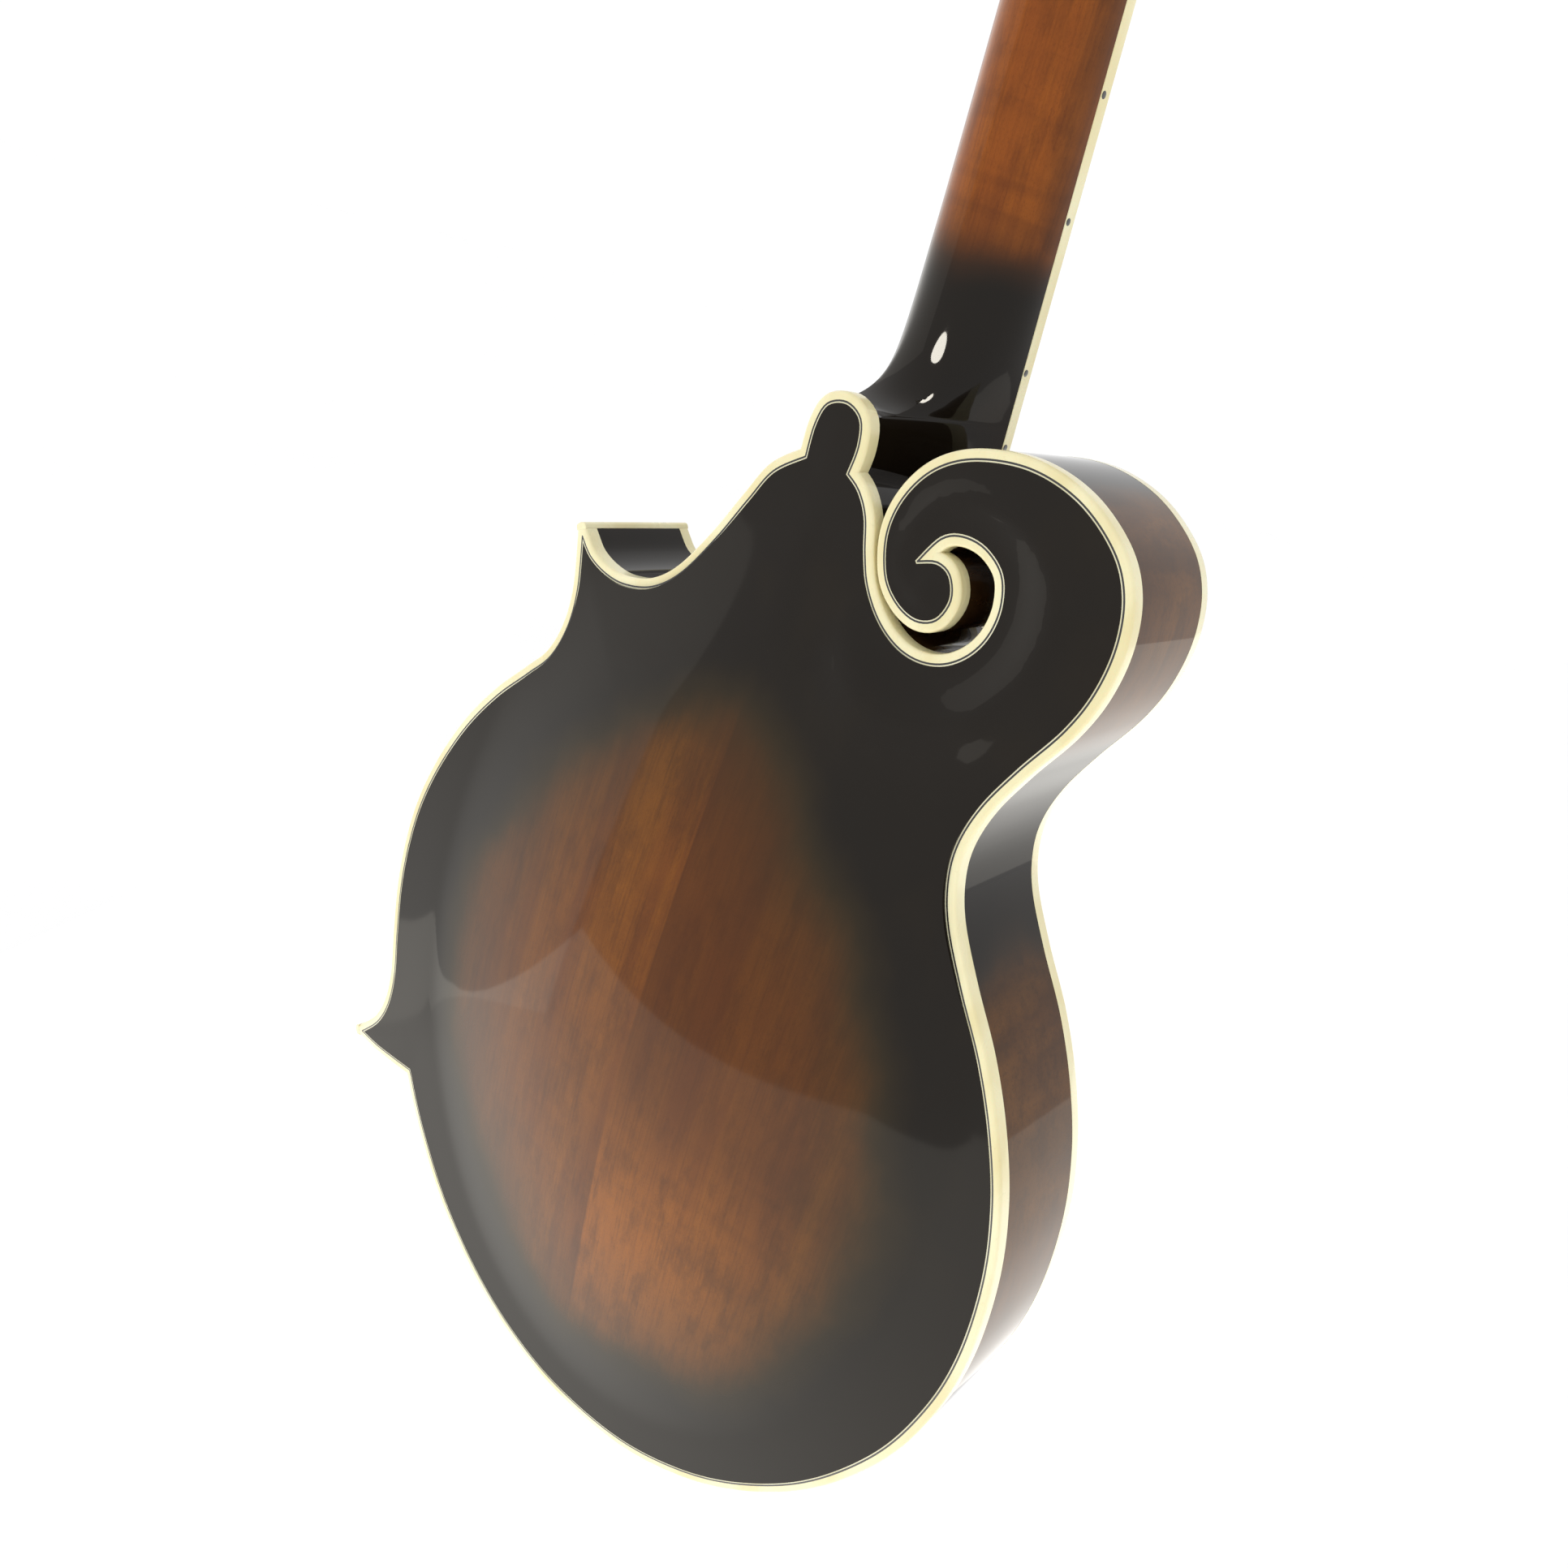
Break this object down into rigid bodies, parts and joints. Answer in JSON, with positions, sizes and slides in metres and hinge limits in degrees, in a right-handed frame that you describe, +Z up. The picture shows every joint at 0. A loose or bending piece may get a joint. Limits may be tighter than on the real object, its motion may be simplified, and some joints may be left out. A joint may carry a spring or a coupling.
{
  "type": "mandolin",
  "caption": "Scroll-bodied carved-top mandolin with bound plates, two treble-side points, heeled neck, paired strings, geared tuners, adjustable bridge and tailpiece.",
  "frame": {"origin": "the point behind the neck, just below the headstock, where a wall hanger carries the instrument", "axes": "+Z up along the body towards the headstock, the soundboard and strings face -Y, the carved back faces +Y, the scroll and bass strings are on -X"},
  "size_m": [0.264, 0.1073, 0.6992],
  "materials": {
    "back_lacquer": "high-gloss lacquered maple, brown sunburst centre fading to near-black edges",
    "spruce_lacquer": "high-gloss lacquered spruce, brown sunburst centre fading to near-black edges",
    "dark_lacquer": "high-gloss dark brown lacquer",
    "raw_wood": "bare sanded wood",
    "ebony": "oiled, satin",
    "cream_binding": "aged cream, lacquered",
    "bone": "polished bone",
    "nickel": "polished nickel",
    "brass": "turned and polished",
    "steel": "plain and wound wire",
    "pearl": "pearloid, polished"
  },
  "bodies": {
    "instrument": {"back_plate": "back_lacquer", "soundboard": "spruce_lacquer", "rim_sides": "dark_lacquer", "neck": "dark_lacquer", "head_block": "raw_wood", "tail_block": "raw_wood", "back_lining_bass": "raw_wood", "back_lining_treble": "raw_wood", "top_lining_bass": "raw_wood", "top_lining_treble": "raw_wood", "tone_bar_bass": "raw_wood", "tone_bar_treble": "raw_wood", "fingerboard": "ebony", "headstock_overlay": "ebony", "truss_rod_cover": "ebony", "bridge_base": "ebony", "back_binding": "cream_binding", "top_binding": "cream_binding", "upper_point_protector": "cream_binding", "lower_point_protector": "cream_binding", "fingerboard_binding": "cream_binding", "headstock_binding": "cream_binding", "nut": "bone", "tuner_plate_bass": "nickel", "tuner_plate_treble": "nickel", "tailpiece_base": "nickel", "end_pin": "nickel", "bridge_post_bass": "brass", "bridge_post_treble": "brass", "truss_rod": "steel", "string_g_1": "steel", "string_g_2": "steel", "string_d_1": "steel", "string_d_2": "steel", "string_a_1": "steel", "string_a_2": "steel", "string_e_1": "steel", "string_e_2": "steel"},
    "knob_bass_1": {"tuner_knob_bass_1": "pearl"},
    "post_bass_1": {"tuner_post_bass_1": "nickel"},
    "knob_bass_2": {"tuner_knob_bass_2": "pearl"},
    "post_bass_2": {"tuner_post_bass_2": "nickel"},
    "knob_bass_3": {"tuner_knob_bass_3": "pearl"},
    "post_bass_3": {"tuner_post_bass_3": "nickel"},
    "knob_bass_4": {"tuner_knob_bass_4": "pearl"},
    "post_bass_4": {"tuner_post_bass_4": "nickel"},
    "knob_treble_1": {"tuner_knob_treble_1": "pearl"},
    "post_treble_1": {"tuner_post_treble_1": "nickel"},
    "knob_treble_2": {"tuner_knob_treble_2": "pearl"},
    "post_treble_2": {"tuner_post_treble_2": "nickel"},
    "knob_treble_3": {"tuner_knob_treble_3": "pearl"},
    "post_treble_3": {"tuner_post_treble_3": "nickel"},
    "knob_treble_4": {"tuner_knob_treble_4": "pearl"},
    "post_treble_4": {"tuner_post_treble_4": "nickel"},
    "saddle": {"bridge_saddle": "ebony"},
    "wheel_bass": {"bridge_wheel_bass": "brass"},
    "wheel_treble": {"bridge_wheel_treble": "brass"},
    "cover": {"tailpiece_cover": "nickel"}
  },
  "joints": [
    {"name": "knob_bass_1_turn", "type": "hinge", "parent": "instrument", "child": "knob_bass_1", "pos_m": [-0.02, 0.01155, 0.03327], "axis": [-1, 0, 0], "continuous": true},
    {"name": "post_bass_1_turn", "type": "hinge", "parent": "instrument", "child": "post_bass_1", "pos_m": [-0.02, -0.00338, 0.04722], "axis": [0, 0.9397, -0.342], "continuous": true},
    {"name": "knob_bass_2_turn", "type": "hinge", "parent": "instrument", "child": "knob_bass_2", "pos_m": [-0.02, 0.01956, 0.05526], "axis": [-1, 0, 0], "continuous": true},
    {"name": "post_bass_2_turn", "type": "hinge", "parent": "instrument", "child": "post_bass_2", "pos_m": [-0.02, 0.00463, 0.06921], "axis": [0, 0.9397, -0.342], "continuous": true},
    {"name": "knob_bass_3_turn", "type": "hinge", "parent": "instrument", "child": "knob_bass_3", "pos_m": [-0.02, 0.02756, 0.07725], "axis": [-1, 0, 0], "continuous": true},
    {"name": "post_bass_3_turn", "type": "hinge", "parent": "instrument", "child": "post_bass_3", "pos_m": [-0.02, 0.01263, 0.0912], "axis": [0, 0.9397, -0.342], "continuous": true},
    {"name": "knob_bass_4_turn", "type": "hinge", "parent": "instrument", "child": "knob_bass_4", "pos_m": [-0.02, 0.03556, 0.09924], "axis": [-1, 0, 0], "continuous": true},
    {"name": "post_bass_4_turn", "type": "hinge", "parent": "instrument", "child": "post_bass_4", "pos_m": [-0.02, 0.02063, 0.11318], "axis": [0, 0.9397, -0.342], "continuous": true},
    {"name": "knob_treble_1_turn", "type": "hinge", "parent": "instrument", "child": "knob_treble_1", "pos_m": [0.02, 0.01155, 0.03327], "axis": [1, 0, 0], "continuous": true},
    {"name": "post_treble_1_turn", "type": "hinge", "parent": "instrument", "child": "post_treble_1", "pos_m": [0.02, -0.00338, 0.04722], "axis": [0, 0.9397, -0.342], "continuous": true},
    {"name": "knob_treble_2_turn", "type": "hinge", "parent": "instrument", "child": "knob_treble_2", "pos_m": [0.02, 0.01956, 0.05526], "axis": [1, 0, 0], "continuous": true},
    {"name": "post_treble_2_turn", "type": "hinge", "parent": "instrument", "child": "post_treble_2", "pos_m": [0.02, 0.00463, 0.06921], "axis": [0, 0.9397, -0.342], "continuous": true},
    {"name": "knob_treble_3_turn", "type": "hinge", "parent": "instrument", "child": "knob_treble_3", "pos_m": [0.02, 0.02756, 0.07725], "axis": [1, 0, 0], "continuous": true},
    {"name": "post_treble_3_turn", "type": "hinge", "parent": "instrument", "child": "post_treble_3", "pos_m": [0.02, 0.01263, 0.0912], "axis": [0, 0.9397, -0.342], "continuous": true},
    {"name": "knob_treble_4_turn", "type": "hinge", "parent": "instrument", "child": "knob_treble_4", "pos_m": [0.02, 0.03556, 0.09924], "axis": [1, 0, 0], "continuous": true},
    {"name": "post_treble_4_turn", "type": "hinge", "parent": "instrument", "child": "post_treble_4", "pos_m": [0.02, 0.02063, 0.11318], "axis": [0, 0.9397, -0.342], "continuous": true},
    {"name": "saddle_slide", "type": "slide", "parent": "instrument", "child": "saddle", "axis": [0, 1, 0], "range_m": [0, 0.0012]},
    {"name": "wheel_bass_turn", "type": "hinge", "parent": "saddle", "child": "wheel_bass", "pos_m": [-0.036, -0.045, -0.359], "axis": [0, 1, 0], "range_deg": [0, 540]},
    {"name": "wheel_treble_turn", "type": "hinge", "parent": "saddle", "child": "wheel_treble", "pos_m": [0.036, -0.045, -0.359], "axis": [0, 1, 0], "range_deg": [0, 540]},
    {"name": "tailpiece_cover_slide", "type": "slide", "parent": "instrument", "child": "cover", "axis": [0, 0, 1], "range_m": [0, 0.012]}
  ],
  "couplings": [
    {"joint": "post_bass_1_turn", "follows": "knob_bass_1_turn", "ratio": -0.071429},
    {"joint": "post_bass_2_turn", "follows": "knob_bass_2_turn", "ratio": -0.071429},
    {"joint": "post_bass_3_turn", "follows": "knob_bass_3_turn", "ratio": -0.071429},
    {"joint": "post_bass_4_turn", "follows": "knob_bass_4_turn", "ratio": -0.071429},
    {"joint": "post_treble_1_turn", "follows": "knob_treble_1_turn", "ratio": 0.071429},
    {"joint": "post_treble_2_turn", "follows": "knob_treble_2_turn", "ratio": 0.071429},
    {"joint": "post_treble_3_turn", "follows": "knob_treble_3_turn", "ratio": 0.071429},
    {"joint": "post_treble_4_turn", "follows": "knob_treble_4_turn", "ratio": 0.071429},
    {"joint": "wheel_bass_turn", "follows": "saddle_slide", "rad_per_m": 7846.1},
    {"joint": "wheel_treble_turn", "follows": "saddle_slide", "rad_per_m": 7846.1}
  ]
}
